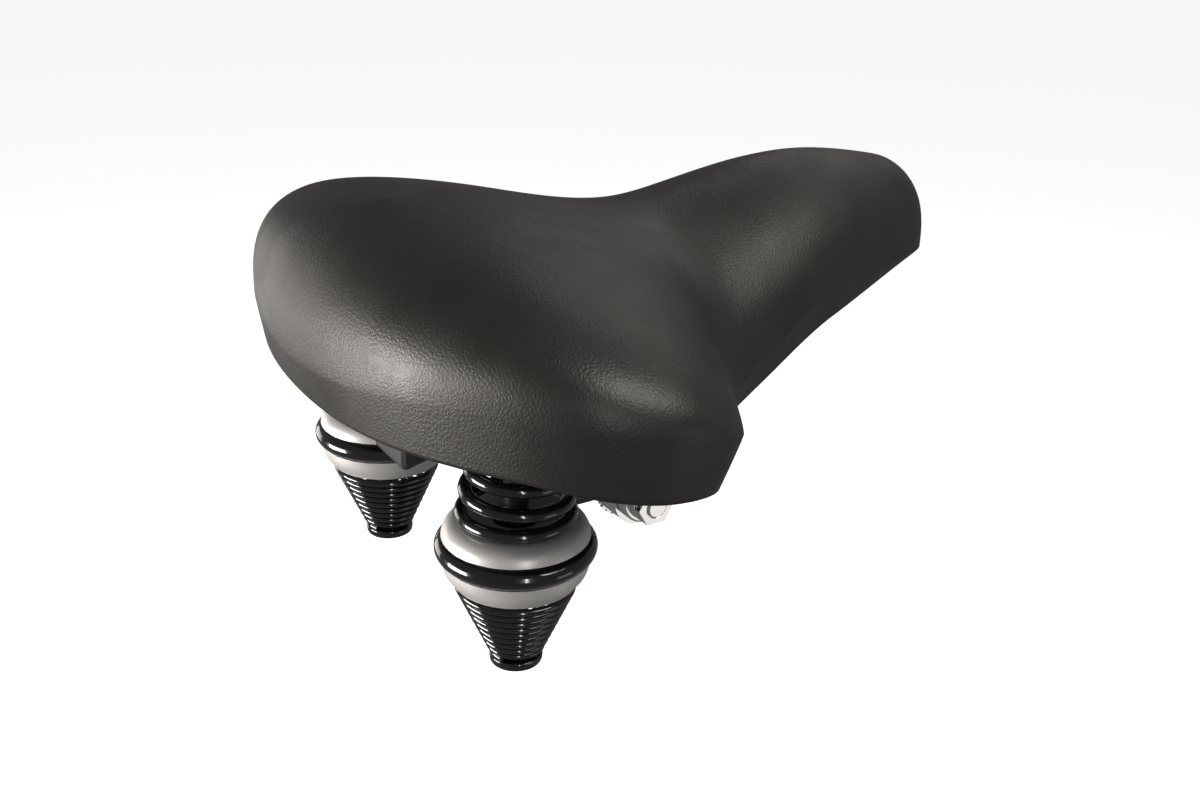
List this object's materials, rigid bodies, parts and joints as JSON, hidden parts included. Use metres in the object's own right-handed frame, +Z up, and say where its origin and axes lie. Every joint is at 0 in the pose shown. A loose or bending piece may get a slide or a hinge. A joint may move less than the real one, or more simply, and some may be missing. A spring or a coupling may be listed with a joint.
{
  "type": "sprung bicycle saddle",
  "caption": "Wide padded comfort saddle on steel rails with hanging conical spring units, a hinged nose and a tilting clamp for a plain round seat post.",
  "frame": {"origin": "centre of the bore of the seat post collar", "axes": "+Y to the saddle's nose, +X to the rider's right, +Z up; the post leaves along -Z"},
  "size_m": [0.23, 0.258, 0.1447],
  "materials": {
    "cover_vinyl": "satin, fine leather grain",
    "foam": "matt open foam",
    "base_plastic": "moulded, lightly textured",
    "cup_plastic": "moulded",
    "clip_plastic": "moulded, satin",
    "black_steel": "black coated steel",
    "rail_black": "black powder coat",
    "spring_black": "gloss black",
    "silver_shell": "satin silver lacquer",
    "band_rubber": "gloss black moulding",
    "bush_rubber": "matt",
    "plug_gloss": "gloss black",
    "chrome": "bright plated",
    "zinc_screws": "zinc plated"
  },
  "bodies": {
    "collar": {"post_collar": "chrome"},
    "clamp_head": {"clamp_bolt": "chrome", "inner_disc_left": "chrome", "outer_plate_left": "chrome", "washer_left": "chrome", "clamp_nut_left": "chrome", "inner_disc_right": "chrome", "outer_plate_right": "chrome", "washer_right": "chrome", "clamp_nut_right": "chrome"},
    "rails": {"nose_sleeve": "rail_black", "rail_left": "rail_black", "housing_upper_left": "silver_shell", "housing_lower_left": "silver_shell", "equator_ring_left": "band_rubber", "eye_bush_left": "bush_rubber", "upper_spring_left": "spring_black", "cone_spring_left": "spring_black", "rail_right": "rail_black", "housing_upper_right": "silver_shell", "housing_lower_right": "silver_shell", "equator_ring_right": "band_rubber", "eye_bush_right": "bush_rubber", "upper_spring_right": "spring_black", "cone_spring_right": "spring_black"},
    "seat": {"cover": "cover_vinyl", "foam_pad": "foam", "base_shell": "base_plastic", "rear_bridge_plate": "black_steel", "bridge_screws": "zinc_screws", "accessory_clip": "clip_plastic", "nose_bracket": "black_steel", "nose_rivets": "zinc_screws", "nose_pivot_pin": "zinc_screws", "pivot_circlips": "zinc_screws", "spring_cup_left": "cup_plastic", "tension_rod_left": "black_steel", "rod_nut_left": "zinc_screws", "nose_plug_left": "plug_gloss", "spring_cup_right": "cup_plastic", "tension_rod_right": "black_steel", "rod_nut_right": "zinc_screws", "nose_plug_right": "plug_gloss"}
  },
  "joints": [
    {"name": "clamp_tilt", "type": "hinge", "parent": "collar", "child": "clamp_head", "pos_m": [0, -0.026, 0], "axis": [1, 0, 0], "range_deg": [-15, 15]},
    {"name": "rail_slide", "type": "slide", "parent": "clamp_head", "child": "rails", "axis": [0, 1, 0], "range_m": [-0.01, 0.014]},
    {"name": "saddle_dip", "type": "hinge", "parent": "rails", "child": "seat", "pos_m": [0, 0.064, 0.067], "axis": [1, 0, 0], "range_deg": [0, 2.8], "stiffness_Nm_per_rad": 1700, "deforming": ["upper_spring_left", "upper_spring_right", "cone_spring_left", "cone_spring_right"]}
  ]
}
